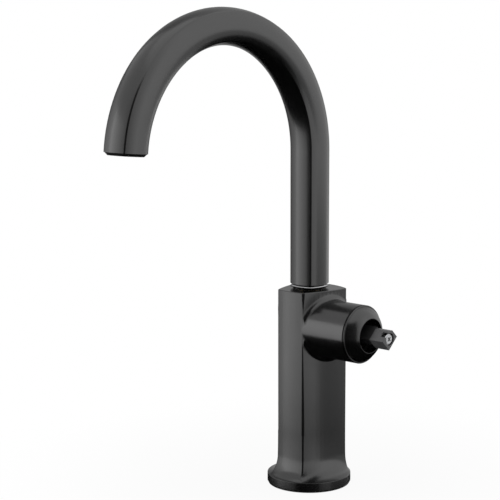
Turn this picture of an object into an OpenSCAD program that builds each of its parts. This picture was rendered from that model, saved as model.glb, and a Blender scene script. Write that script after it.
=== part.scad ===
// Gooseneck bar faucet: creased column with a side valve, swivelling gooseneck
// spout and a bare valve stem ready for a lever handle.
// Millimetres. The origin is the centre of the sealing face on the deck, +Z is
// up, the spout reaches along -Y and the valve hub along +X.

/* [Base] */
// Diameter of the round foot
base_d = 55; // [52:0.5:64]
// Height of the foot's rim above the deck
rim_h = 6.5; // [5:0.25:9]
// Thickness of the rubber deck gasket
gasket_t = 1; // [0.8:0.1:1.5]
// How far the gasket sits inside the foot's edge
gasket_inset = 0.7; // [0.3:0.1:1.5]
// Radius of the concave flare from column to foot
flare_r = 14; // [12:0.5:16]
// Radius of the mounting shank's thread in the foot
shank_r = 14; // [13.2:0.1:14.4]
// Length of the mounting shank's thread
shank_len = 14; // [10:1:20]

/* [Column] */
// Height of the column's flat top above the deck
body_h = 130; // [117:1:150]
// Width between the two front creases
front_w = 22.2; // [21:0.2:25]
// Distance from the axis forward to the front creases
front_y = 18.5; // [17.5:0.1:20]
// Bulge of the front face
front_bulge = 1; // [0.5:0.1:2]
// Width between the two back creases
back_w = 37.6; // [37:0.2:39]
// Distance from the axis back to the back creases
back_y = 15.2; // [14.5:0.1:16]
// Bulge of the back face
back_bulge = 4.6; // [4:0.1:5.5]
// Bulge of the side faces
side_bulge = 1.7; // [1.2:0.1:2.4]
// Small chamfer that breaks the outer edges
edge_break = 0.35; // [0.2:0.05:0.6]
// Depth of the narrow flat that blunts each crease of the column
crease_flat = 0.3; // [0.1:0.05:0.5]
// Height where the column's faces begin to lean outwards above the foot
lean_top = 36; // [32:1:50]
// Radius of that gentle lean
lean_r = 400; // [300:10:800]
// Radius of the hose chamber inside the column
chamber_r = 13; // [12.6:0.1:13.1]
// Height of the hose chamber's ceiling
chamber_h = 62; // [50:1:66]

/* [Valve hub] */
// Drop from the column's flat top to the hub's axis
hub_drop = 24.7; // [24.4:0.1:26]
// Diameter of the hub
hub_d = 37.4; // [37:0.1:38.4]
// Distance from the column's axis to the hub's end
hub_len = 44.1; // [43.4:0.1:45]
// Size of the fillet where the hub leaves the column
hub_fillet = 3.8; // [3:0.1:4.2]
// Distance from the column's axis to the cartridge seat
seat_x = 11; // [10.8:0.1:11.5]
// Width of the gap that shows between hub and bonnet
bonnet_gap = 0.4; // [0.3:0.05:0.6]
// Length of the bonnet
bonnet_len = 7.6; // [7.2:0.1:8.4]
// Diameter of the bonnet's mouth
mouth_d = 21.8; // [21.6:0.1:23]
// Radius of the dome between the bonnet's shoulder and its mouth
dome_r = 15.2; // [12:0.2:30]

/* [Cartridge] */
// Outer radius of the cartridge housing
cartridge_r = 13.6; // [13.4:0.05:13.7]
// Radius of the ceramic discs' chamber
disc_bore_r = 11.1; // [11.05:0.05:11.4]
// Thickness of each ceramic disc
disc_t = 2.8; // [2.5:0.1:3]
// Distance of the lever's pin from the cartridge seat
pin_h = 18.5; // [18.3:0.1:18.8]
// Radius of the lever's pin
pin_r = 1.5; // [1.2:0.1:1.7]
// Radius of the water ports
port_r = 2; // [1.6:0.1:2.2]
// Turn of the lever about the hub's axis, as it stands at rest
lever_turn = 45; // [0:1:90]

/* [Valve stem] */
// Distance from the column's axis to the stem's end face
stem_end_x = 67.4; // [66.5:0.1:70]
// Width of the handle adapter
adapter_w = 10.9; // [10.3:0.1:11.2]
// Thickness of the handle adapter
adapter_t = 8.7; // [8.3:0.1:9]
// Length of the handle adapter
adapter_len = 11; // [10:0.5:12]
// Thickness of the lever blade behind the adapter
blade_t = 5.8; // [5:0.1:6.3]
// Radius of the recess for the screw's head
recess_r = 3.9; // [3.7:0.1:4]
// Depth of the recess for the screw's head
recess_depth = 4; // [3.8:0.1:5]
// Radius of the screw's head
screw_head_r = 3.3; // [3:0.1:3.5]
// Radius of the screw's shank
screw_r = 1.6; // [1.3:0.1:1.8]

/* [Spout] */
// Width of the tube across its faces
tube_w = 22.7; // [22.4:0.1:23.2]
// Width of the tube across its creases, before they are blunted
tube_diag = 25.3; // [25:0.1:25.7]
// Depth of the narrow flat that blunts each crease of the tube
tube_crease_flat = 0.13; // [0.05:0.01:0.25]
// Wall thickness of the tube
tube_wall = 1.5; // [1.2:0.1:1.6]
// Length of the tube's straight part, up to the bend
riser_len = 87; // [70:1:130]
// Radius of the bend's centre line
bend_r = 78; // [70:0.5:90]
// Angle that the bend sweeps
bend_sweep = 175; // [170:0.5:180]
// Height of the swivel ring between column and tube
ring_h = 3.2; // [2.8:0.1:4]
// Radius of the spout's post in the column
post_r = 8.45; // [8.3:0.05:8.45]
// Bore radius of the spout's post
post_bore_r = 5.5; // [5:0.1:5.8]
// Radius of the aerator insert
aerator_r = 8; // [7.5:0.1:8.4]
// How far the aerator housing stands out of the tube
aerator_out = 1.7; // [1.2:0.1:2.2]

/* [Fits] */
// Radial clearance of running fits
run_fit = 0.07; // [0.05:0.01:0.09]
// Gap between parts that move past each other
move_gap = 0.25; // [0.2:0.05:0.4]
// Radial clearance of the cartridge in the hub
seat_fit = 0.2; // [0.1:0.05:0.25]

/* [Hidden] */
$fn = 96;

BLACK = [0.09, 0.09, 0.095];
BRASS = [0.76, 0.62, 0.33];
STEEL = [0.75, 0.76, 0.78];
RUBBER = [0.05, 0.05, 0.05];
NYLON = [0.85, 0.85, 0.82];
CERAMIC = [0.93, 0.93, 0.9];
over = 1;                                  // how far a cutter runs past what it cuts

// Column and foot
base_r = base_d / 2;
function chord_bulge_r(chord, bulge) = (chord * chord / 4 + bulge * bulge) / (2 * bulge);
front_arc_r = chord_bulge_r(front_w, front_bulge);
back_arc_r = chord_bulge_r(back_w, back_bulge);
side_chord = norm([(back_w - front_w) / 2, back_y + front_y]);
side_arc_r = chord_bulge_r(side_chord, side_bulge);
side_mid = [(back_w + front_w) / 4, (back_y - front_y) / 2];
side_out = [back_y + front_y, (front_w - back_w) / 2] / side_chord;
side_centre = side_mid - side_out * (side_arc_r - side_bulge);
side_reach = side_mid * side_out + side_bulge;
flare_reach = base_r - side_reach;         // the flare just meets the rim at the sides
back_corner_r = norm([back_w / 2, back_y]) - crease_flat;
cap_reach = base_r - back_corner_r;        // the foot's own flare, outside every crease
gasket_hole_gap = 0.5;                     // the gasket's hole clears the shank's thread
hose_thread = 12;                          // depth of the supply hoses' threads
hose_thread_r = 4.5;
feed_r = 2.5;                              // drilled passage from each hose to the valve
port_x = 5;                                // hose ports, forward of the column's middle

// Flare of a wall that reaches out at the rim: the lean's large arc runs into the flare's small
// one where both have the slope lean_deg. Solved for the height where they meet
function lean_offset(deg) = lean_r * (1 - cos(deg));
function flare_drop(deg, reach) = let (low = flare_r * cos(deg) - reach + lean_offset(deg))
    sqrt(flare_r * flare_r - low * low) - flare_r * sin(deg);
function lean_end_deg(reach, low = 0, high = 6, step = 24) = let (mid = (low + high) / 2)
    step == 0 ? mid
    : lean_top - lean_r * sin(mid) - rim_h > flare_drop(mid, reach)
        ? lean_end_deg(reach, mid, high, step - 1)
        : lean_end_deg(reach, low, mid, step - 1);

// Valve hub
hub_z = body_h - hub_drop;
hub_r = hub_d / 2;
bonnet_x = hub_len + bonnet_gap;
bonnet_end = bonnet_x + bonnet_len;
fillet_steps = 6;
fillet_sink = 0.6;                         // how deep the fillet's hidden edges lie in the metal
fillet_back = 1.5;
bonnet_bead = 0.5;
bonnet_shoulder = 0.9;                     // the dome starts this far in from the bead
bonnet_lip = 0.3;                          // flat ring round the bonnet's mouth
cartridge_bore_r = cartridge_r + seat_fit;
nut_wall = 1.2;
nut_bore_r = cartridge_bore_r + nut_wall;
bonnet_fit = 0.1;
skirt_r = nut_bore_r - bonnet_fit;         // the bonnet screws into the hub's mouth
skirt_wall = 2;
skirt_oring_minor = 0.6;
oring_slack = 0.02;
skirt_oring_r = nut_bore_r - skirt_oring_minor - oring_slack;
skirt_groove_half = skirt_oring_minor + oring_slack;
nut_relief = 0.5;                          // how far the nut's bore starts before the shoulder

// Cartridge, measured along the hub's axis from the column's axis
base_t = 4;
base_end = seat_x + base_t;
fixed_end = base_end + disc_t;
disc_fit = 0.1;                            // round the fixed disc in its chamber
disc_film = 0.02;                          // water film between the two lapped faces
moving_start = fixed_end + disc_film;
moving_end = moving_start + disc_t;
moving_r = 8.8;
mixing_r = 6.2;                            // pocket under the moving disc
pin_x = seat_x + pin_h;
tail_len = 6.6;                            // from the pin to the ball on the lever's tail
tail_x = pin_x - tail_len;
tail_r = 1.8;
tail_neck_r = 1.1;
socket_gap = 0.3;
socket_floor = moving_end + socket_gap;
carrier_cap = 0.6;
carrier_end = tail_x + tail_r + carrier_cap;
carrier_r = 9;
carrier_flat = 6.8;                        // half width of the disc carrier across its flats
rotor_start = carrier_end + move_gap;
flange_t = 2.4;
rotor_flange_end = rotor_start + flange_t;
rotor_top = 6.5;                           // how far the rotor's neck stands past the pin
rotor_end = pin_x + rotor_top;
rotor_r = 9.2;
slot_reach = 6.6;                          // half length of the rotor's slot, the way the lever tilts
fork_w = 7;
fork_gap = 0.2;
fork_start = moving_end + fork_gap;
shoulder_top = 3.5;
housing_shoulder = pin_x + shoulder_top;   // where the clamp washer bears
housing_wall = 2.2;
housing_neck_r = rotor_r + housing_wall;
housing_lip = 0.6;
housing_end = rotor_end + housing_lip;
housing_groove = 1.6;
housing_oring_minor = (housing_groove + seat_fit) / 2 - oring_slack;
clamp_fit = 0.2;                           // round the housing's neck, under the nut
washer_t = 0.8;
nut_start = housing_shoulder + washer_t;
nut_t = 5.5;
nut_end = nut_start + nut_t;
skirt_start = nut_end + clamp_fit;
skirt_oring_x = (skirt_start + hub_len) / 2;
notch_w = 3;
notch_depth = 2;
notch_floor = 1.2;                         // metal left inside the nut's notches
groove_half = 1;                           // half width of the O-rings' grooves
seal_w = 1.1;
seal_t = 1.4;
inlet_y = 6;
inlet_z = -4.1;                            // water ports, measured from the hub's axis
outlet_z = 3;
water_holes = [[-inlet_y, inlet_z], [inlet_y, inlet_z], [0, outlet_z]];

// Valve stem
lever_slot = 8;                            // width of the lever inside its carrier
lever_core = 6;                            // thickness of the lever inside its carrier
core_below_pin = 3;
adapter_x = stem_end_x - adapter_len;
blade_gap = 4;                             // from the rotor's end to the wide blade
blade_inset = 0.35;                        // the blade is this much smaller than the adapter
blade_start = rotor_end + blade_gap;
slot_w = 3.6;                              // slot from the recess to the adapter's upper face
corner_cut = 1.6;
tenon_w = 5.4;
tenon_t = 4.6;
tenon_len = 4;
tenon_end = adapter_x + tenon_len;
recess_x = stem_end_x - recess_depth;
screw_grip = 4;
screw_end = adapter_x - screw_grip;
screw_head_h = 3.3;
screw_edge = 0.5;
cross_len = 3.4;
cross_w = 0.8;
cross_floor = 1.2;

// Spout
half_chord = tube_diag / sqrt(2) / 2;
face_bulge = tube_w / 2 - half_chord;
face_arc_r = chord_bulge_r(2 * half_chord, face_bulge);
face_arc_centre = tube_w / 2 - face_arc_r;
tube_edge = 0.3;                           // bevel of the tube's foot
foot_z = body_h + ring_h;
bend_z = foot_z + riser_len;
spout_bore_r = post_r + run_fit;
bore_floor = 1.1;
spout_bore_z = hub_z - bore_floor;
post_gap = 0.6;                            // the post ends just above the outlet passage
post_end_z = hub_z + outlet_z + port_r + post_gap;
snap_shoulder = 1.4;
snap_z = post_end_z + snap_shoulder;
snap_t = 1.2;
snap_depth = 0.9;                          // of its groove in the post, and of the one in the column
snap_slack = 0.1;
post_groove = 1.7;                         // depth of the O-rings' grooves
post_oring_minor = post_groove / 2;
oring_first = 3.2;
oring_pitch = 4;
post_oring_zs = [for (k = [0, 1]) snap_z + snap_t + oring_first + k * oring_pitch];
bushing_len = 6;
bushing_wall = 2.1;
bushing_r = post_r + bushing_wall;
post_plug = 16;                            // length of the post brazed into the tube
post_top_z = foot_z + post_plug;
swivel_neck_r = 10.8;
swivel_plate_t = 1.3;
swivel_gap = 0.75;                         // dark gap between the tube's foot and the ring's plate
swivel_bevel = 0.55;
aerator_len = 9;
aerator_seat = 5.3;                        // depth of the seal's ledge behind the tube's end
aerator_seal_t = 1.2;
aerator_seal_w = 2.5;
aerator_ledge = 1.5;
collar_inset = 0.45;                       // step from the tube's faces to the collar round the outlet
collar_root_deg = 0.3;                     // how far the housing's curved part runs into the collar
screen_start = aerator_seal_t - aerator_seat;
screen_t = 0.5;
insert_start = screen_start + screen_t;
screen_hole_r = 0.7;
insert_hole_r = 0.8;
hole_margin = 0.8;
hole_pitch = 2.2;
grip_deg = 2 * asin(aerator_len / 2 / bend_r);

// ---- shared shapes ----

// Puts a shape drawn along +Z onto the hub's axis, with +Z along the hub
module on_hub() {
    translate([0, 0, hub_z]) rotate([0, 90, 0]) children();
}

// The same, turned with the lever: +X is the way the lever tilts, +Y lies along its pin
module on_lever() {
    on_hub() rotate([0, 0, lever_turn]) children();
}

module ring(r_out, r_in, start, end) {
    translate([0, 0, start]) difference() {
        cylinder(h = end - start, r = r_out);
        translate([0, 0, -over]) cylinder(h = end - start + 2 * over, r = r_in);
    }
}

module oring(major, minor, z) {
    translate([0, 0, z]) rotate_extrude() translate([major, 0]) circle(minor, $fn = 32);
}

module box_between(low, high) {
    translate(low) cube(high - low);
}

// ---- column ----

// Half profile of a wall of radius r: straight, then a gentle lean, then the foot's flare, which
// reaches out that far at the rim
module flared_profile(r, reach) {
    deg = lean_end_deg(reach);
    meet_z = lean_top - lean_r * sin(deg);
    difference() {
        translate([0, gasket_t]) square([r + flare_r, body_h - gasket_t]);
        translate([r + lean_offset(deg) + flare_r * cos(deg), meet_z + flare_r * sin(deg)])
            circle(flare_r, $fn = 180);
        intersection() {
            translate([r + lean_r, lean_top]) circle(lean_r, $fn = 720);
            translate([r, meet_z]) square([flare_r + over, lean_top - meet_z]);
        }
        translate([r, lean_top]) square([flare_r + over, body_h]);
        translate([r, body_h]) rotate(45) square(edge_break * sqrt(2), center = true);
    }
}

module flared_wall(centre, r, reach) {
    translate(centre) rotate_extrude($fn = 180) flared_profile(r, reach);
}

// Wide wall that blunts a front crease. It faces midway between the two faces that meet there
module front_crease_wall(side) {
    front_deg = asin(front_w / 2 / front_arc_r);
    side_deg = atan2(side_out.x, -side_out.y) - asin(side_chord / 2 / side_arc_r);
    facing = (front_deg + side_deg) / 2;
    out = [side * sin(facing), -cos(facing)];
    crease = [side * front_w / 2, -front_y];
    flared_wall(crease - out * (base_d + crease_flat), base_d, flare_reach);
}

// Four bulged faces that meet in creases and flare into the round foot
module column_outside() {
    intersection() {
        flared_wall([0, front_arc_r - front_y - front_bulge], front_arc_r, flare_reach);
        flared_wall([0, back_y + back_bulge - back_arc_r], back_arc_r, flare_reach);
        flared_wall(side_centre, side_arc_r, flare_reach);
        flared_wall([-side_centre.x, side_centre.y], side_arc_r, flare_reach);
        flared_wall([0, 0], back_corner_r, cap_reach);
        for (side = [-1, 1]) front_crease_wall(side);
        translate([0, 0, gasket_t]) cylinder(h = body_h, r = base_r, $fn = 180);
    }
}

// The boss for the valve
module hub_outside() {
    on_hub() {
        cylinder(h = hub_len - edge_break, r = hub_r);
        cylinder(h = hub_len, r = hub_r - edge_break);
    }
}

// Centre of the ball that rolls round the hub's root, touching the hub and the side face
function fillet_centre(turn) = let (y = (hub_r + hub_fillet) * cos(turn))
    [side_centre.x + sqrt(pow(side_arc_r + hub_fillet, 2) - pow(y - side_centre.y, 2)),
     y, (hub_r + hub_fillet) * sin(turn)];

// Section of the fillet at one turn round the hub: the rolled arc, then a point inside the metal
function fillet_section(turn) = let (
        ball = fillet_centre(turn),
        to_hub = [0, -cos(turn), -sin(turn)],
        to_face = [side_centre.x - ball.x, side_centre.y - ball.y, 0] / (side_arc_r + hub_fillet),
        sink = hub_fillet + fillet_sink / 3
    ) concat(
        [ball + to_hub * sink + [fillet_sink, 0, 0]],
        [for (i = [1:fillet_steps - 1]) let (
            mix = i / fillet_steps,
            way = to_hub * (1 - mix) + to_face * mix
        ) ball + way / norm(way) * hub_fillet],
        [ball + to_face * sink - to_hub * fillet_sink],
        [ball + to_hub * (hub_fillet + fillet_back) + to_face * (hub_fillet + 2 * fillet_back)]
    );

// Concave fillet between the hub and the bulged side face
module hub_root_fillet() {
    turns = 72;
    size = fillet_steps + 2;
    points = [for (i = [0:turns - 1]) each fillet_section(360 / turns * i)];
    faces = [for (i = [0:turns - 1], j = [0:size - 1]) let (
        here = i * size, next = (i + 1) % turns * size, k = (j + 1) % size
    ) each [[here + j, here + k, next + k], [here + j, next + k, next + j]]];
    intersection() {
        translate([0, 0, hub_z]) polyhedron(points, faces);
        flared_wall([0, front_arc_r - front_y - front_bulge], front_arc_r, flare_reach);
        flared_wall([0, back_y + back_bulge - back_arc_r], back_arc_r, flare_reach);
    }
}

module supply_passage(side) {
    y = side * inlet_y;
    ceiling = hub_z + inlet_z + port_r;
    translate([port_x, y, chamber_h - over]) cylinder(h = hose_thread + over, r = hose_thread_r);
    translate([port_x, y, chamber_h]) cylinder(h = ceiling - chamber_h, r = feed_r);
    translate([port_x, y, hub_z + inlet_z]) rotate([0, 90, 0])
        cylinder(h = seat_x - port_x + over, r = port_r);
}

module body_column() {
    color(BLACK) difference() {
        union() {
            column_outside();
            hub_outside();
            hub_root_fillet();
        }
        translate([0, 0, gasket_t - over]) cylinder(h = shank_len + over, r = shank_r);
        cylinder(h = chamber_h, r = chamber_r);
        for (side = [-1, 1]) supply_passage(side);
        translate([0, 0, hub_z + outlet_z]) rotate([0, 90, 0]) cylinder(h = seat_x + over, r = port_r);
        translate([0, 0, spout_bore_z]) cylinder(h = body_h, r = spout_bore_r);
        ring(post_r + snap_depth, 0, snap_z - 2 * snap_slack, snap_z + snap_t + 2 * snap_slack);
        translate([0, 0, body_h - bushing_len]) cylinder(h = body_h, r = bushing_r);
        on_hub() {
            translate([0, 0, seat_x]) cylinder(h = hub_len, r = cartridge_bore_r);
            translate([0, 0, housing_shoulder - nut_relief]) cylinder(h = hub_len, r = nut_bore_r);
        }
    }
}

module deck_gasket() {
    color(RUBBER) ring(base_r - gasket_inset, shank_r + gasket_hole_gap, 0, gasket_t);
}

// ---- spout ----

// Bulged square with four creases, inset evenly by a wall thickness
module tube_section(inset = 0) {
    intersection() {
        intersection_for(k = [0:3]) {
            rotate(90 * k) translate([face_arc_centre, 0]) circle(face_arc_r - inset, $fn = 180);
        }
        circle(tube_diag / 2 - tube_crease_flat - inset, $fn = 180);
    }
}

// Short block of the same section, standing on z = 0, with bevelled edges
module bevelled_block(inset, h, low_bevel, high_bevel) {
    intersection() {
        intersection_for(k = [0:3]) rotate(90 * k) translate([face_arc_centre, 0, 0])
            bevelled_disc(face_arc_r - inset, h, low_bevel, high_bevel);
        bevelled_disc(tube_diag / 2 - tube_crease_flat - inset, h, low_bevel, high_bevel);
    }
}

module bevelled_disc(r, h, low_bevel, high_bevel) {
    rotate_extrude($fn = 180) polygon([
        [0, 0], [r - low_bevel, 0], [r, low_bevel],
        [r, h - high_bevel], [r - high_bevel, h], [0, h]
    ]);
}

// Turns a shape so that its XY plane is the plane of the bend, with +X pointing from the
// bend's centre to the column and +Y pointing up
module in_bend_plane(deg) {
    translate([0, -bend_r, bend_z]) rotate([90, 0, 90]) rotate(deg) children();
}

// Sweeps the section round the gooseneck's bend, from one angle to another
module bend(inset, from_deg, to_deg) {
    in_bend_plane(from_deg) rotate_extrude(angle = to_deg - from_deg, $fn = 180)
        translate([bend_r, 0]) tube_section(inset);
}

// Places a shape at the outlet, with +Z pointing out along the spout
module at_outlet() {
    in_bend_plane(bend_sweep) translate([bend_r, 0, 0]) rotate([-90, 0, 0]) children();
}

module spout_tube() {
    color(BLACK) {
        difference() {
            union() {
                translate([0, 0, foot_z]) bevelled_block(0, bend_z - foot_z, tube_edge, 0);
                bend(0, 0, bend_sweep);
            }
            translate([0, 0, foot_z - over]) linear_extrude(bend_z - foot_z + over) tube_section(tube_wall);
            bend(tube_wall, -0.01, bend_sweep + 1);
        }
    }
}

module spout_post() {
    color(BRASS) difference() {
        union() {
            translate([0, 0, post_end_z]) cylinder(h = foot_z - post_end_z, r = post_r);
            translate([0, 0, foot_z]) linear_extrude(post_top_z - foot_z) tube_section(tube_wall);
        }
        translate([0, 0, post_end_z - over]) cylinder(h = post_top_z, r = post_bore_r);
        for (z = post_oring_zs)
            ring(post_r + over, post_r - post_groove, z - groove_half, z + groove_half);
        ring(post_r + over, post_r - snap_depth, snap_z, snap_z + snap_t);
    }
}

module post_orings() {
    color(RUBBER) for (z = post_oring_zs)
        oring(post_r - post_oring_minor, post_oring_minor, z);
}

// Split ring that snaps into the column's groove and keeps the spout in
module snap_ring() {
    gap_deg = 40;
    inner_r = post_r - snap_depth + snap_slack / 2;
    outer_r = post_r + snap_depth - 3 * snap_slack;
    color(STEEL) translate([0, 0, snap_z + snap_slack]) rotate([0, 0, gap_deg / 2])
        rotate_extrude(angle = 360 - gap_deg) translate([inner_r, 0])
            square([outer_r - inner_r, snap_t - 2 * snap_slack]);
}

// Bearing ring under the tube's foot: a round neck and a plate with the tube's own section
module swivel_ring() {
    plate_z = foot_z - swivel_gap - swivel_plate_t;
    color(BLACK) difference() {
        union() {
            translate([0, 0, body_h + move_gap])
                cylinder(h = foot_z - body_h - move_gap, r = swivel_neck_r);
            translate([0, 0, plate_z]) bevelled_block(0, swivel_plate_t, tube_edge, swivel_bevel);
        }
        translate([0, 0, body_h]) cylinder(h = ring_h + over, r = post_r + run_fit);
    }
}

module spout_bushing() {
    color(NYLON) ring(bushing_r, post_r + run_fit, body_h - bushing_len, body_h);
}

// Housing that fills the tube's end, with a tapered collar that shows below it
module aerator_housing() {
    color(BLACK) difference() {
        union() {
            bend(tube_wall + run_fit, bend_sweep - grip_deg, bend_sweep + collar_root_deg);
            at_outlet() bevelled_block(collar_inset, aerator_out, 0, aerator_out);
        }
        at_outlet() {
            ring(aerator_r, 0, -aerator_seat, aerator_len);
            ring(aerator_r - aerator_ledge, 0, -2 * aerator_len, 0);
        }
    }
}

module aerator_seal() {
    color(RUBBER) at_outlet() ring(aerator_r, aerator_r - aerator_seal_w, -aerator_seat, screen_start);
}

// Rows of small holes in a round disc
module hole_grid(pitch, hole_r, within_r, start, end) {
    rows = ceil(within_r / pitch);
    for (i = [-rows:rows], j = [-rows:rows]) {
        spot = [pitch * (i + j / 2), pitch * j * sqrt(3) / 2];
        if (norm(spot) + hole_r < within_r)
            translate([spot.x, spot.y, start]) cylinder(h = end - start, r = hole_r, $fn = 16);
    }
}

module aerator_screen() {
    color(STEEL) at_outlet() difference() {
        translate([0, 0, screen_start]) cylinder(h = insert_start - screen_start, r = aerator_r);
        hole_grid(hole_pitch, screen_hole_r, aerator_r - hole_margin, -aerator_seat, 0);
    }
}

module aerator_insert() {
    color(NYLON) at_outlet() difference() {
        translate([0, 0, insert_start]) cylinder(h = -insert_start, r = aerator_r);
        hole_grid(hole_pitch, insert_hole_r, aerator_r - hole_margin, -aerator_seat, over);
    }
}

// ---- bonnet and cartridge ----

// Domed cap with a bead at its edge and a skirt that screws into the hub
module bonnet() {
    mouth_r = mouth_d / 2;
    shoulder = [hub_r - bonnet_shoulder, bonnet_shoulder];
    rim = [mouth_r + bonnet_lip, bonnet_len];
    chord = norm(rim - shoulder);
    inwards = [shoulder.y - rim.y, rim.x - shoulder.x] / chord;
    dome_centre = (shoulder + rim) / 2 + inwards * sqrt(dome_r * dome_r - chord * chord / 4);
    color(BLACK) on_hub() translate([0, 0, bonnet_x]) rotate_extrude($fn = 180) difference() {
        union() {
            translate([hub_r - bonnet_bead, bonnet_bead]) circle(bonnet_bead, $fn = 32);
            square([hub_r - bonnet_bead, 2 * bonnet_bead]);
            intersection() {
                translate(dome_centre) circle(dome_r, $fn = 360);
                square([shoulder.x, bonnet_len]);
            }
            translate([0, skirt_start - bonnet_x]) square([skirt_r, bonnet_x - skirt_start + over]);
        }
        translate([-over, -over]) square([mouth_r + over, bonnet_len + 2 * over]);
        translate([-over, skirt_start - bonnet_x - over])
            square([skirt_r - skirt_wall + over, bonnet_x - skirt_start + 2 * over]);
        translate([skirt_oring_r - skirt_oring_minor, skirt_oring_x - bonnet_x - skirt_groove_half])
            square([2 * skirt_oring_minor, 2 * skirt_groove_half]);
    }
}

module bonnet_oring() {
    color(RUBBER) on_hub() oring(skirt_oring_r, skirt_oring_minor, skirt_oring_x);
}

module cartridge_nut() {
    notches = 6;
    color(BRASS) on_hub() difference() {
        ring(nut_bore_r, housing_neck_r + clamp_fit, nut_start, nut_end);
        for (k = [0:notches - 1]) rotate(360 / notches * k)
            translate([housing_neck_r + notch_floor, -notch_w / 2, nut_end - notch_depth])
                cube([nut_bore_r, notch_w, notch_depth + over]);
    }
}

module clamp_washer() {
    color(NYLON) on_hub()
        ring(nut_bore_r - clamp_fit, housing_neck_r + clamp_fit, housing_shoulder, nut_start);
}

module cartridge_housing() {
    color(NYLON) on_hub() difference() {
        union() {
            translate([0, 0, base_end]) cylinder(h = housing_shoulder - base_end, r = cartridge_r);
            translate([0, 0, base_end]) cylinder(h = housing_end - base_end, r = housing_neck_r);
        }
        ring(disc_bore_r, 0, base_end - over, rotor_flange_end + 2 * run_fit);
        translate([0, 0, base_end]) cylinder(h = housing_end, r = rotor_r + run_fit);
        ring(cartridge_r + over, cartridge_r - housing_groove, pin_x - groove_half, pin_x + groove_half);
    }
}

module housing_oring() {
    color(RUBBER) on_hub()
        oring(cartridge_r - housing_groove + housing_oring_minor, housing_oring_minor, pin_x);
}

module water_ports(r, start, end) {
    for (hole = water_holes) translate([-hole.y, hole.x, start]) cylinder(h = end - start, r = r);
}

module cartridge_base() {
    color(NYLON) on_hub() difference() {
        translate([0, 0, seat_x]) cylinder(h = base_end - seat_x, r = cartridge_r);
        water_ports(port_r, seat_x - over, base_end + over);
        water_ports(port_r + seal_w, seat_x - over, seat_x + seal_t);
    }
}

module base_seals() {
    color(RUBBER) on_hub() difference() {
        water_ports(port_r + seal_w, seat_x, seat_x + seal_t);
        water_ports(port_r, seat_x - over, base_end);
    }
}

module fixed_disc() {
    color(CERAMIC) on_hub() difference() {
        translate([0, 0, base_end]) cylinder(h = disc_t, r = disc_bore_r - disc_fit);
        water_ports(port_r, base_end - over, fixed_end + over);
    }
}

module moving_disc() {
    color(CERAMIC) on_lever() difference() {
        translate([0, 0, moving_start]) cylinder(h = disc_t, r = moving_r);
        translate([0, 0, moving_start - over]) cylinder(h = disc_t / 2 + over, r = mixing_r);
    }
}

module disc_carrier() {
    color(NYLON) on_lever() difference() {
        intersection() {
            translate([0, 0, moving_end]) cylinder(h = carrier_end - moving_end, r = carrier_r);
            box_between([-carrier_r, -carrier_flat, moving_end], [carrier_r, carrier_flat, carrier_end]);
        }
        translate([0, 0, socket_floor]) cylinder(h = carrier_end, r = tail_r + run_fit);
    }
}

// Turning carrier: a flange with a fork that straddles the disc carrier, and a slotted neck
module stem_carrier() {
    flange_r = disc_bore_r - run_fit;
    fork_y = carrier_flat + run_fit;
    color(STEEL) on_lever() difference() {
        union() {
            translate([0, 0, rotor_start]) cylinder(h = rotor_flange_end - rotor_start, r = flange_r);
            translate([0, 0, rotor_start]) cylinder(h = rotor_end - rotor_start, r = rotor_r);
            intersection() {
                translate([0, 0, fork_start]) cylinder(h = rotor_start - fork_start, r = flange_r);
                for (side = [0, 180]) rotate(side)
                    box_between([-fork_w / 2, fork_y, fork_start], [fork_w / 2, flange_r, rotor_start]);
            }
        }
        box_between([-slot_reach, -lever_slot / 2 - run_fit, rotor_start - over],
                    [slot_reach, lever_slot / 2 + run_fit, rotor_end + over]);
        translate([0, -rotor_r, pin_x]) rotate([-90, 0, 0]) cylinder(h = 2 * rotor_r, r = pin_r);
    }
}

module stem_pin() {
    pin_half = rotor_r - 0.8;
    color(STEEL) on_lever() translate([0, -pin_half, pin_x]) rotate([-90, 0, 0])
        cylinder(h = 2 * pin_half, r = pin_r);
}

// Lever: ball tail, flat core on the pin, wide blade and a tenon for the adapter
module valve_stem() {
    blade_low = blade_inset - adapter_t / 2;
    blade_side = adapter_w / 2 - blade_inset;
    color(BLACK) on_lever() difference() {
        union() {
            translate([0, 0, tail_x]) sphere(tail_r);
            translate([0, 0, tail_x]) cylinder(h = tail_len, r = tail_neck_r);
            box_between([-lever_core / 2, -lever_slot / 2, pin_x - core_below_pin],
                        [lever_core / 2, lever_slot / 2, blade_start + over]);
            box_between([blade_low, -blade_side, blade_start],
                        [blade_low + blade_t, blade_side, adapter_x]);
            box_between([-tenon_t / 2, -tenon_w / 2, adapter_x - over],
                        [tenon_t / 2, tenon_w / 2, tenon_end]);
        }
        translate([0, -lever_slot, pin_x]) rotate([-90, 0, 0])
            cylinder(h = 2 * lever_slot, r = pin_r + run_fit / 2);
        translate([0, 0, screw_end]) cylinder(h = tenon_end, r = screw_r);
    }
}

// Square block that a handle fits over, with a slot and one cut corner that key the handle
module stem_adapter() {
    color(BLACK) on_lever() difference() {
        box_between([-adapter_t / 2, -adapter_w / 2, adapter_x],
                    [adapter_t / 2, adapter_w / 2, stem_end_x]);
        box_between([-tenon_t / 2, -tenon_w / 2, adapter_x - over], [tenon_t / 2, tenon_w / 2, tenon_end]);
        translate([0, 0, adapter_x]) cylinder(h = adapter_len, r = screw_r);
        translate([0, 0, recess_x]) cylinder(h = recess_depth + over, r = recess_r);
        box_between([-adapter_t, -slot_w / 2, recess_x], [0, slot_w / 2, stem_end_x + over]);
        translate([-adapter_t / 2, adapter_w / 2, adapter_x - over]) rotate(45)
            cube([2 * corner_cut, 2 * corner_cut, 3 * adapter_len], center = true);
    }
}

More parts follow.
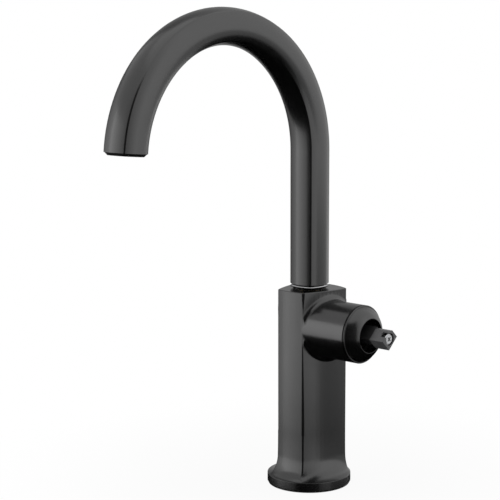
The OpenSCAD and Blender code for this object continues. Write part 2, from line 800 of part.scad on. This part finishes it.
// Pan-head screw with a cross recess
module adapter_screw() {
    color(STEEL) on_lever() difference() {
        union() {
            translate([0, 0, screw_end]) cylinder(h = recess_x - screw_end, r = screw_r);
            translate([0, 0, recess_x]) cylinder(h = screw_head_h - screw_edge, r = screw_head_r);
            translate([0, 0, recess_x]) cylinder(h = screw_head_h, r = screw_head_r - screw_edge);
        }
        for (turn = [0, 90]) rotate(turn)
            translate([-cross_len / 2, -cross_w / 2, recess_x + cross_floor])
                cube([cross_len, cross_w, screw_head_h]);
    }
}

body_column();
deck_gasket();
swivel_ring();
spout_bushing();
spout_tube();
spout_post();
post_orings();
snap_ring();
aerator_housing();
aerator_seal();
aerator_screen();
aerator_insert();
bonnet();
bonnet_oring();
cartridge_nut();
clamp_washer();
cartridge_housing();
housing_oring();
cartridge_base();
base_seals();
fixed_disc();
moving_disc();
disc_carrier();
stem_carrier();
stem_pin();
valve_stem();
stem_adapter();
adapter_screw();
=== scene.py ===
import math

import bmesh
import bpy
from mathutils import Matrix, Vector


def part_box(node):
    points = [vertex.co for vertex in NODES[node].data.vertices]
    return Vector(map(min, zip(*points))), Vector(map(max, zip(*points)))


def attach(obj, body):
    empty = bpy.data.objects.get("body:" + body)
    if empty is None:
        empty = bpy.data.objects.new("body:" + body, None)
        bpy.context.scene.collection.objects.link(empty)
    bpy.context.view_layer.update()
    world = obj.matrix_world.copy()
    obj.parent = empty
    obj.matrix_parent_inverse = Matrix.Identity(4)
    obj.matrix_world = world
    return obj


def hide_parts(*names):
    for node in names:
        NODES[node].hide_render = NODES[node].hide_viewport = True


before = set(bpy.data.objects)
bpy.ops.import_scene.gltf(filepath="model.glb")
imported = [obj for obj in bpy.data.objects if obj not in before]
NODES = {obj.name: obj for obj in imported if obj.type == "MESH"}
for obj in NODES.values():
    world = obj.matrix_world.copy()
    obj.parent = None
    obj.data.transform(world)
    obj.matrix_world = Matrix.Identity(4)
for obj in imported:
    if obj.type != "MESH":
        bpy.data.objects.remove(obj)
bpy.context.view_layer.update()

MM = 0.001


# ---- node helpers ----

NOISE_SPAN = (0.3, 0.7)             # where nearly all of a noise lies
NOISE_ROUGHNESS = 0.6


def new_material(name):
    material = bpy.data.materials.new(name)
    material.use_nodes = True
    tree = material.node_tree
    tree.nodes.clear()
    return material, tree


def add(tree, kind, **settings):
    node = tree.nodes.new(kind)
    for key, value in settings.items():
        setattr(node, key, value)
    return node


def feed(tree, value, socket):
    """Gives a socket its value: another node's output, or a plain number."""
    if isinstance(value, bpy.types.NodeSocket):
        tree.links.new(value, socket)
    else:
        socket.default_value = value


def reckon(tree, operation, first, second):
    node = add(tree, "ShaderNodeMath", operation=operation)
    feed(tree, first, node.inputs[0])
    feed(tree, second, node.inputs[1])
    return node.outputs[0]


def spread(tree, value, result, span=NOISE_SPAN, **settings):
    """Maps a span of a value, by default a noise's, onto the two ends of the result."""
    ramp = add(tree, "ShaderNodeMapRange", **settings)
    for socket, number in zip(("From Min", "From Max", "To Min", "To Max"), (*span, *result)):
        ramp.inputs[socket].default_value = number
    tree.links.new(value, ramp.inputs["Value"])
    return ramp.outputs["Result"]


def object_place(tree):
    return add(tree, "ShaderNodeTexCoord").outputs["Object"]


def object_axes(tree):
    """The X, Y and Z of the Object coordinates."""
    parts = add(tree, "ShaderNodeSeparateXYZ")
    tree.links.new(object_place(tree), parts.inputs[0])
    return parts.outputs


def object_noise(tree, scale, detail):
    """Noise on Object coordinates, the same on every piece that shares a finish."""
    noise = add(tree, "ShaderNodeTexNoise")
    noise.inputs["Scale"].default_value = scale
    noise.inputs["Detail"].default_value = detail
    noise.inputs["Roughness"].default_value = NOISE_ROUGHNESS
    tree.links.new(object_place(tree), noise.inputs["Vector"])
    return noise.outputs["Fac"]


def grained(tree, scale, strength, height):
    """The normal of a fine grain of the given height."""
    bump = add(tree, "ShaderNodeBump")
    bump.inputs["Strength"].default_value = strength
    bump.inputs["Distance"].default_value = height
    tree.links.new(object_noise(tree, scale, detail=2.0), bump.inputs["Height"])
    return bump.outputs["Normal"]


def tinted(tree, value, dark, light):
    mix = add(tree, "ShaderNodeMix", data_type="RGBA")
    mix.inputs["A"].default_value = (*dark, 1)
    mix.inputs["B"].default_value = (*light, 1)
    tree.links.new(value, mix.inputs["Factor"])
    return mix.outputs["Result"]


def finish_shader(tree, shader):
    out = add(tree, "ShaderNodeOutputMaterial")
    tree.links.new(shader.outputs[0], out.inputs["Surface"])


def surface(tree, colour, rough, metal, normal, specular=0.5):
    shader = add(tree, "ShaderNodeBsdfPrincipled")
    shader.inputs["Metallic"].default_value = metal
    shader.inputs["Specular IOR Level"].default_value = specular
    tree.links.new(colour, shader.inputs["Base Color"])
    feed(tree, rough, shader.inputs["Roughness"])
    tree.links.new(normal, shader.inputs["Normal"])
    finish_shader(tree, shader)


# ---- finishes ----

BLOTCH = 60
ROUGH_SPREAD = 0.04
GRAIN_HEIGHT = 0.004 * MM
COAT_BUMP = 0.25
PLATE_GRAIN = 2200
PLATE_BUMP = 0.3
# where the ring's painted highlight lies: the bevel's band
BEVEL_DROP = 0.77 * MM              # from the ring's top to just under the top of its plate
RING_BEVEL = 0.55 * MM
SCREW_GRAIN_HEIGHT = 0.006 * MM
SCREW_FACE = 0.7 * MM               # how deep the plating of the screw's face reaches
SCREW_SLOT_SHADE = 1.1 * MM               # and where the painted shade of the slot starts: the neck is painted dark


def make_finish(name, dark, light, rough, metal=0.0, specular=0.5, grain=1400):
    """A coated or moulded finish: faint blotches of tone and gloss over a fine grain."""
    material, tree = new_material(name)
    tone = object_noise(tree, BLOTCH, detail=3.0)
    colour = tinted(tree, spread(tree, tone, (0, 1)), dark, light)
    gloss = spread(tree, tone, (rough - ROUGH_SPREAD / 2, rough + ROUGH_SPREAD / 2))
    normal = grained(tree, grain, COAT_BUMP, GRAIN_HEIGHT)
    surface(tree, colour, gloss, metal, normal, specular)
    return material


def make_ring_painted_highlight():
    """Black ring with a painted highlight: the band of the bevel round its plate, below the neck on which
    the tube stands, is painted bright metal.
    """
    bevel_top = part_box("swivel_ring")[1][2] - BEVEL_DROP
    material, tree = new_material("ring_painted_highlight")
    height = object_axes(tree)["Z"]
    under_top = reckon(tree, "LESS_THAN", height, bevel_top)
    over_side = reckon(tree, "GREATER_THAN", height, bevel_top - RING_BEVEL)
    # painted highlight: the bevel's band gets a bright metal colour, the rest of the ring stays black
    bevel = reckon(tree, "MULTIPLY", under_top, over_side)
    colour = tinted(tree, bevel, (0.012, 0.012, 0.012), (0.5, 0.5, 0.51))
    surface(tree, colour, 0.15, 1.0, grained(tree, PLATE_GRAIN, PLATE_BUMP, GRAIN_HEIGHT))
    return material


def make_screw_painted_slot_shade():
    """Bright plating on the head's face, and painted shade of the slot: the neck that the slot shows is
    painted dark.
    """
    head_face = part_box("adapter_screw")[1][0]
    material, tree = new_material("plated_screw_painted_slot_shade")
    face = spread(tree, object_axes(tree)["X"], (0, 1), (head_face - SCREW_SLOT_SHADE, head_face - SCREW_FACE))
    # painted shade: the neck gets a dark colour where the slot's shade falls, the head's face stays plated
    colour = tinted(tree, face, (0.03, 0.03, 0.03), (0.86, 0.87, 0.88))
    surface(tree, colour, 0.28, 1.0, grained(tree, PLATE_GRAIN, PLATE_BUMP, SCREW_GRAIN_HEIGHT))
    return material


SATIN = make_finish("satin_black_coat", (0.0025, 0.0025, 0.0026), (0.0038, 0.0038, 0.0039),
                    rough=0.23, specular=1.0)
STEM = make_finish("dark_stem", (0.012, 0.012, 0.0125), (0.018, 0.018, 0.0185), rough=0.38)
ADAPTER = make_finish("dark_cast_zinc", (0.075, 0.075, 0.077), (0.09, 0.09, 0.092),
                      rough=0.34, specular=1.0)
BLACKENED = make_finish("blackened_brass", (0.02, 0.018, 0.015), (0.035, 0.03, 0.025),
                        rough=0.4, metal=1.0)
STEEL = make_finish("machined_steel", (0.55, 0.56, 0.57), (0.68, 0.69, 0.7), rough=0.3, metal=1.0)
BRASS = make_finish("machined_brass", (0.6, 0.42, 0.17), (0.72, 0.52, 0.24), rough=0.32, metal=1.0)
RUBBER = make_finish("moulded_rubber", (0.006, 0.006, 0.006), (0.012, 0.012, 0.012),
                     rough=0.6, grain=900)
NYLON = make_finish("moulded_nylon", (0.55, 0.55, 0.52), (0.66, 0.66, 0.63), rough=0.45)
CERAMIC = make_finish("lapped_ceramic", (0.78, 0.78, 0.75), (0.86, 0.86, 0.83), rough=0.15)
DARK_PLASTIC = make_finish("dark_plastic", (0.004, 0.004, 0.004), (0.008, 0.008, 0.008), rough=0.5)

FINISHES = {
    "body_column": SATIN, "deck_gasket": RUBBER, "swivel_ring": make_ring_painted_highlight(), "spout_bushing": NYLON,
    "spout_tube": SATIN, "spout_post": BRASS, "post_orings": RUBBER, "snap_ring": STEEL,
    "aerator_housing": DARK_PLASTIC, "aerator_seal": RUBBER, "aerator_screen": STEEL,
    "aerator_insert": DARK_PLASTIC, "bonnet": SATIN, "bonnet_oring": RUBBER,
    "cartridge_nut": BLACKENED, "clamp_washer": NYLON, "cartridge_housing": DARK_PLASTIC,
    "housing_oring": RUBBER, "cartridge_base": NYLON, "base_seals": RUBBER,
    "fixed_disc": CERAMIC, "moving_disc": CERAMIC, "disc_carrier": NYLON, "stem_carrier": STEEL,
    "stem_pin": STEEL, "valve_stem": STEM, "stem_adapter": ADAPTER, "adapter_screw": make_screw_painted_slot_shade(),
}
for name, node in NODES.items():
    for slot in node.material_slots:
        slot.material = FINISHES[name]


# ---- modelling helpers ----

def only(piece):
    bpy.ops.object.select_all(action="DESELECT")
    piece.select_set(True)
    bpy.context.view_layer.objects.active = piece


def edit(piece):
    only(piece)
    bpy.ops.object.mode_set(mode="EDIT")
    bpy.ops.mesh.select_all(action="DESELECT")


def leave_edit():
    bpy.ops.object.mode_set(mode="OBJECT")


def pick(kind, wanted):
    """Adds to the selection the edges or faces that pass a test."""
    mesh = bmesh.from_edit_mesh(bpy.context.edit_object.data)
    for item in getattr(mesh, kind):
        if wanted(item):
            item.select_set(True)
    bmesh.update_edit_mesh(bpy.context.edit_object.data)


def delete_faces(unwanted):
    bpy.ops.mesh.select_mode(type="FACE")
    pick("faces", unwanted)
    bpy.ops.mesh.delete(type="FACE")


def cut_level(height):
    """Cuts the whole mesh across at a height, and leaves nothing selected."""
    bpy.ops.mesh.select_all(action="SELECT")
    bpy.ops.mesh.bisect(plane_co=(0, 0, height), plane_no=(0, 0, 1))
    bpy.ops.mesh.select_all(action="DESELECT")


def middle(item):
    return sum((vert.co for vert in item.verts), Vector()) / len(item.verts)


def off_axis(point):
    return math.hypot(point.x, point.y)


def merged_copy(node_name, piece_name):
    """A copy of a CAD node's mesh whose loose triangles are joined up."""
    only(NODES[node_name])
    bpy.ops.object.duplicate()
    piece = bpy.context.object
    piece.name = piece.data.name = piece_name
    edit(piece)
    bpy.ops.mesh.select_all(action="SELECT")
    bpy.ops.mesh.remove_doubles(threshold=0.002 * MM)
    bpy.ops.mesh.customdata_custom_splitnormals_clear()
    leave_edit()
    return piece


def smooth_but_for_creases(piece, crease_deg):
    only(piece)
    bpy.ops.object.shade_smooth_by_angle(angle=math.radians(crease_deg))
    bpy.ops.object.modifier_add(type="WEIGHTED_NORMAL")
    piece.modifiers[-1].keep_sharp = True
    bpy.ops.object.modifier_apply(modifier=piece.modifiers[-1].name)


def stands_for(piece, node_name, body):
    """The piece takes a CAD node's place and body."""
    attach(piece, body)
    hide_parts(node_name)


# ---- column: its creased walls run out smoothly into the round foot ----

COLUMN_LOW = Vector(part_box("body_column")[0])
RIM_R = -COLUMN_LOW.y
FOOT_Z = COLUMN_LOW.z
RIM_H = 6.5 * MM
RIM_ROUND = 0.35 * MM
RIM_STEPS = 3
FOOT_BREAK = 0.3 * MM
SHANK_R = 14 * MM
OUTSIDE_R = SHANK_R + 0.3 * MM      # what lies further out belongs to the outside
SIDE_REACH = 16.64 * MM             # from the axis to the middle of a wall
FLARE_R = 14 * MM                   # the sweep into the rim
LEAN_R = 400 * MM                   # and the long, slight lean of the walls above it
LEAN_TOP = 36 * MM
STEEPEST_LEAN = math.radians(6)
HALVINGS = 30
FOOT_LEVELS = 40
WALL_EDGE = 1.2 * MM                # longer edges of the cut section get more points
WALL_CUTS = 4
CREASE_ROUND = 1.2 * MM
CREASE_STEPS = 4
CREASE_Y = -15 * MM                 # a front crease lies nearer the front than this,
CREASE_OFF_AXIS = 21 * MM           # further out than this,
CREASE_TURN = math.radians(5)       # and turns by more than this
HUB_FILLET_LOW = 92.5 * MM
HUB_FILLET_HIGH = 118 * MM
SMOOTH_DEG = 20
CLOSE = 0.01 * MM
EXACT = 0.001 * MM


def flare_share(height):
    """How far the walls have run out towards the rim: 0 where they are straight, 1 at the rim's edge."""
    reach = RIM_R - SIDE_REACH
    low, high = 0.0, STEEPEST_LEAN
    for _ in range(HALVINGS):
        turn = (low + high) / 2
        out = FLARE_R * math.cos(turn) - reach + LEAN_R * (1 - math.cos(turn))
        drop = math.sqrt(FLARE_R ** 2 - out ** 2) - FLARE_R * math.sin(turn)
        if LEAN_TOP - LEAN_R * math.sin(turn) - RIM_H > drop:
            low = turn
        else:
            high = turn
    meet = LEAN_TOP - LEAN_R * math.sin(turn)
    if height >= meet:
        return (LEAN_R - math.sqrt(LEAN_R ** 2 - (LEAN_TOP - height) ** 2)) / reach
    flare_out = LEAN_R * (1 - math.cos(turn)) + FLARE_R * math.cos(turn)
    flare_z = meet + FLARE_R * math.sin(turn)
    return (flare_out - math.sqrt(FLARE_R ** 2 - (flare_z - height) ** 2)) / reach


def extrude_level(height, here):
    bpy.ops.mesh.extrude_region_move(TRANSFORM_OT_translate={"value": (0, 0, height - here)})


def resize_level(height, size):
    bpy.ops.transform.resize(value=(size, size, 1), center_override=(0, 0, height))


def loft_to_round():
    """Extrudes the column's cut edge down, level by level, from its creased section to a circle."""
    mesh = bmesh.from_edit_mesh(bpy.context.edit_object.data)
    ring = [vert for vert in mesh.verts if vert.select]
    mean_r = sum(off_axis(vert.co) for vert in ring) / len(ring)
    creased, circle = 1.0, 0.0            # a point's radius is creased * its own + circle
    here = LEAN_TOP
    for level in range(1, FOOT_LEVELS + 1):
        height = LEAN_TOP - (LEAN_TOP - RIM_H) * math.sin(math.pi / 2 * level / FOOT_LEVELS)
        share = 1.0 if level == FOOT_LEVELS else flare_share(height)
        extrude_level(height, here)
        rounding = (creased * share * RIM_R - circle * (1 - share)) / (
            creased * (mean_r * (1 - share) + share * RIM_R))
        bpy.ops.transform.tosphere(value=rounding, center_override=(0, 0, height))
        circle += rounding * creased * mean_r
        resize_level(height, share * RIM_R / circle)
        creased, circle, here = 1 - share, share * RIM_R, height


def on_outside(item):
    return off_axis(middle(item)) > OUTSIDE_R


def below_walls(face):
    return middle(face).z < LEAN_TOP and on_outside(face)


def outer_boundary(edge):
    return edge.is_boundary and on_outside(edge)


def rim_edge(edge):
    return on_outside(edge) and all(abs(vert.co.z - RIM_H) < EXACT for vert in edge.verts)


def front_crease(edge):
    """A long edge of one of the two front creases, down to where it fades out in the foot."""
    low, high = sorted(edge.verts, key=lambda vert: vert.co.z)
    if high.co.z - low.co.z <= 0.5 * edge.calc_length():
        return False
    if low.co.z > HUB_FILLET_LOW + CLOSE and high.co.z < HUB_FILLET_HIGH - CLOSE:
        return False
    at_corner = middle(edge).y < CREASE_Y and off_axis(middle(edge)) > CREASE_OFF_AXIS
    return at_corner and len(edge.link_faces) == 2 and edge.calc_face_angle(0) > CREASE_TURN


def remake_foot():
    """Takes the outside away below the walls, and lofts it anew down to the rim and the foot's face."""
    cut_level(LEAN_TOP)
    delete_faces(below_walls)
    bpy.ops.mesh.select_mode(type="EDGE")
    pick("edges", lambda edge: outer_boundary(edge) and edge.calc_length() > WALL_EDGE)
    bpy.ops.mesh.subdivide(number_cuts=WALL_CUTS)
    bpy.ops.mesh.select_all(action="DESELECT")
    pick("edges", outer_boundary)
    loft_to_round()
    extrude_level(FOOT_Z + FOOT_BREAK, RIM_H)
    extrude_level(FOOT_Z, FOOT_Z + FOOT_BREAK)
    resize_level(FOOT_Z, (RIM_R - FOOT_BREAK) / RIM_R)
    pick("edges", lambda edge: edge.is_boundary)
    bpy.ops.mesh.bridge_edge_loops()
    bpy.ops.mesh.select_all(action="DESELECT")
    pick("edges", rim_edge)
    bpy.ops.mesh.bevel(offset=RIM_ROUND, segments=RIM_STEPS, affect="EDGES")
    bpy.ops.mesh.select_all(action="SELECT")
    bpy.ops.mesh.normals_make_consistent(inside=False)


def round_front_creases():
    """Rounds the two front creases, but for the stretch beside the hub, whose ends are cut first."""
    cut_level(HUB_FILLET_LOW)
    cut_level(HUB_FILLET_HIGH)
    pick("edges", front_crease)
    bpy.ops.mesh.bevel(offset=CREASE_ROUND, segments=CREASE_STEPS, affect="EDGES", clamp_overlap=False)


def model_column():
    column = merged_copy("body_column", "column")
    edit(column)
    remake_foot()
    round_front_creases()
    leave_edit()
    smooth_but_for_creases(column, SMOOTH_DEG)
    stands_for(column, "body_column", "faucet_body")


model_column()


# ---- floor and world ----

FLOOR_SIZE = 9
FLOOR_SIDES = 96
SHADOW_START = 0.04
SHADOW_END = 0.25
SHADE_AT_FOOT = 0.93
WORLD_LEVEL = 0.55


def white_for_reflections(tree, others):
    """1 for what the camera, a mirror or glass sees, and the given value for plain light."""
    path = add(tree, "ShaderNodeLightPath").outputs
    mirrored = reckon(tree, "MAXIMUM", path["Is Glossy Ray"], path["Is Transmission Ray"])
    seen = reckon(tree, "MAXIMUM", path["Is Camera Ray"], mirrored)
    return spread(tree, seen, (others, 1.0), (0.0, 1.0))


def make_floor_finish():
    material, tree = new_material("pale_floor")
    distance = add(tree, "ShaderNodeVectorMath", operation="LENGTH")
    tree.links.new(object_place(tree), distance.inputs[0])
    glow = spread(tree, distance.outputs["Value"], (SHADE_AT_FOOT, 1.0), (SHADOW_START, SHADOW_END),
                  interpolation_type="SMOOTHSTEP")
    share = reckon(tree, "MULTIPLY", white_for_reflections(tree, 0.0), glow)
    diffuse = add(tree, "ShaderNodeBsdfDiffuse")
    diffuse.inputs["Color"].default_value = (0.8, 0.8, 0.8, 1)
    white = add(tree, "ShaderNodeEmission")
    white.inputs["Color"].default_value = (1, 1, 1, 1)
    white.inputs["Strength"].default_value = 1.0
    mix = add(tree, "ShaderNodeMixShader")
    tree.links.new(share, mix.inputs["Fac"])
    tree.links.new(diffuse.outputs[0], mix.inputs[1])
    tree.links.new(white.outputs[0], mix.inputs[2])
    finish_shader(tree, mix)
    return material


def stage_floor():
    """Pale floor: it keeps the faucet's shadow near the foot and is plain white further out.

    Gloss doesn't show it, because the faucet in the photo mirrors no floor."""
    bpy.ops.object.select_all(action="DESELECT")
    bpy.ops.mesh.primitive_circle_add(vertices=FLOOR_SIDES, radius=FLOOR_SIZE, fill_type="NGON",
                                      location=(0, 0, 0))
    floor = bpy.context.object
    floor.name = "floor"
    floor.data.materials.append(make_floor_finish())
    floor.visible_glossy = False


def set_world():
    world = bpy.data.worlds.new("studio")
    bpy.context.scene.world = world
    world.use_nodes = True
    world.cycles.sampling_method = "NONE"
    tree = world.node_tree
    tree.nodes.clear()
    background = add(tree, "ShaderNodeBackground")
    background.inputs["Color"].default_value = (1, 1, 1, 1)
    tree.links.new(white_for_reflections(tree, WORLD_LEVEL), background.inputs["Strength"])
    out = add(tree, "ShaderNodeOutputWorld")
    tree.links.new(background.outputs[0], out.inputs["Surface"])


# ---- camera, as fitted to the photo ----

CAMERA_PLACE = Vector((624.88, -699.87, 295.00)) * MM
CAMERA_AZIMUTH = math.radians(41.76)
CAMERA_PITCH = math.radians(8.497)
CAMERA_ROLL = math.radians(0.175)
IMAGE_PX = 500
FOCAL_PX = 1461.44
VIEW_AXIS_PX = 309.64               # where the camera's own axis meets the picture, from its left edge
SENSOR = 36


def set_camera():
    level = math.cos(CAMERA_PITCH)
    forward = Vector((-math.sin(CAMERA_AZIMUTH) * level, math.cos(CAMERA_AZIMUTH) * level,
                      -math.sin(CAMERA_PITCH)))
    right = Vector((math.cos(CAMERA_AZIMUTH), math.sin(CAMERA_AZIMUTH), 0))
    up = right.cross(forward)
    right_rolled = right * math.cos(CAMERA_ROLL) + up * math.sin(CAMERA_ROLL)
    up_rolled = -right * math.sin(CAMERA_ROLL) + up * math.cos(CAMERA_ROLL)
    data = bpy.data.cameras.new("camera")
    camera = bpy.data.objects.new("camera", data)
    bpy.context.scene.collection.objects.link(camera)
    turn = Matrix((right_rolled, up_rolled, -forward)).transposed().to_4x4()
    turn.translation = CAMERA_PLACE
    camera.matrix_world = turn
    data.sensor_width = SENSOR
    data.lens = FOCAL_PX / IMAGE_PX * SENSOR
    data.shift_x = (IMAGE_PX / 2 - VIEW_AXIS_PX) / IMAGE_PX
    data.clip_start = 0.01
    data.clip_end = 50
    bpy.context.scene.camera = camera


# ---- studio panels ----

# Bearings at which the panels start and end, in degrees from -Y, where the spout points, towards +X.
BACK_LEFT = -100
LEFT = -50
FRONT = 4
FRONT_RIGHT = 70
RIGHT = 104
BACK_RIGHT = 168
BACK = 181

# Feet and heads of the panels, each a radius and a height in metres. A whole round has PANEL_SIDES faces.
PANEL_SIDES = 90
PANEL_R = 1.5
BASEMENT = (PANEL_R, -0.4)
AT_FLOOR = (PANEL_R, 0)
ON_FLOOR = (PANEL_R, 0.001)
WALL_HEAD = (PANEL_R, 0.85)
CANOPY_HEAD = (0.9, 1.75)
LEANING_HEAD = (1.3, 1.4)
BACK_HEAD = (1.0, 2.2)
BELOW_FOOT = (0.02, -0.9)

# Name, first and last bearing, foot, head, and the light's level at either bearing.
WALLS = (
    ("left_wall", BACK_LEFT, LEFT, ON_FLOOR, WALL_HEAD, 0.1, 1.25),
    ("near_left_wall", LEFT, FRONT, ON_FLOOR, WALL_HEAD, 1.9, 0.8),
    ("left_canopy", BACK_LEFT, FRONT, WALL_HEAD, CANOPY_HEAD, 0.65, 0.75),
    ("right_wall", RIGHT, BACK_RIGHT, ON_FLOOR, LEANING_HEAD, 1.25, 0.9),
)
CARDS = (
    ("left_under_card", BACK_LEFT, LEFT, BASEMENT, AT_FLOOR, 0.1, 1.1),
    ("near_left_under_card", LEFT, FRONT, BASEMENT, AT_FLOOR, 1.75, 0.6),
    ("right_under_card", RIGHT, BACK_RIGHT, BASEMENT, AT_FLOOR, 0.4, 0.6),
    ("front_card", FRONT, FRONT_RIGHT, BASEMENT, LEANING_HEAD, 0.0, 0.1),
    ("side_card", FRONT_RIGHT, RIGHT, BASEMENT, LEANING_HEAD, 0.7, 1.15),
    ("back_card", -BACK, BACK_LEFT, BASEMENT, BACK_HEAD, 0.7, 0.2),
    ("back_under_card", BACK_RIGHT, BACK, BASEMENT, AT_FLOOR, 1.4, 1.4),
    ("ground_card", -BACK, BACK, BELOW_FOOT, BASEMENT, 0.0, 0.0),
)


def bearing(point):
    return math.degrees(math.atan2(point.x, -point.y))


def panel_glow(name, start, end, start_level, end_level):
    """Light that runs evenly from one level at the first bearing to another at the last one."""
    material, tree = new_material(name)
    place = object_axes(tree)
    turn = reckon(tree, "ARCTAN2", place["X"], reckon(tree, "MULTIPLY", place["Y"], -1.0))
    glow = add(tree, "ShaderNodeEmission")
    level = spread(tree, turn, (start_level, end_level), (math.radians(start), math.radians(end)))
    tree.links.new(level, glow.inputs["Strength"])
    finish_shader(tree, glow)
    return material


def add_panel(name, start, end, foot, head, start_level, end_level):
    """A curved studio panel round the faucet, which no camera sees."""
    bpy.ops.object.select_all(action="DESELECT")
    bpy.ops.mesh.primitive_cone_add(vertices=PANEL_SIDES, radius1=foot[0], radius2=head[0],
                                    depth=head[1] - foot[1], end_fill_type="NOTHING",
                                    location=(0, 0, (foot[1] + head[1]) / 2))
    panel = bpy.context.object
    panel.name = name
    bpy.ops.object.transform_apply(location=True)
    edit(panel)
    delete_faces(lambda face: not start < bearing(middle(face)) < end)
    leave_edit()
    panel.data.materials.append(panel_glow(name, start, end, start_level, end_level))
    panel.visible_camera = False
    panel.visible_shadow = False
    return panel


def add_card(*settings):
    """A panel that doesn't light the scene, and only shows in the faucet's gloss."""
    card = add_panel(*settings)
    card.visible_diffuse = False
    card.data.materials[0].cycles.emission_sampling = "NONE"


stage_floor()
set_world()
set_camera()
for wall in WALLS:
    add_panel(*wall)
for card in CARDS:
    add_card(*card)
bpy.context.scene.view_settings.view_transform = "Standard"
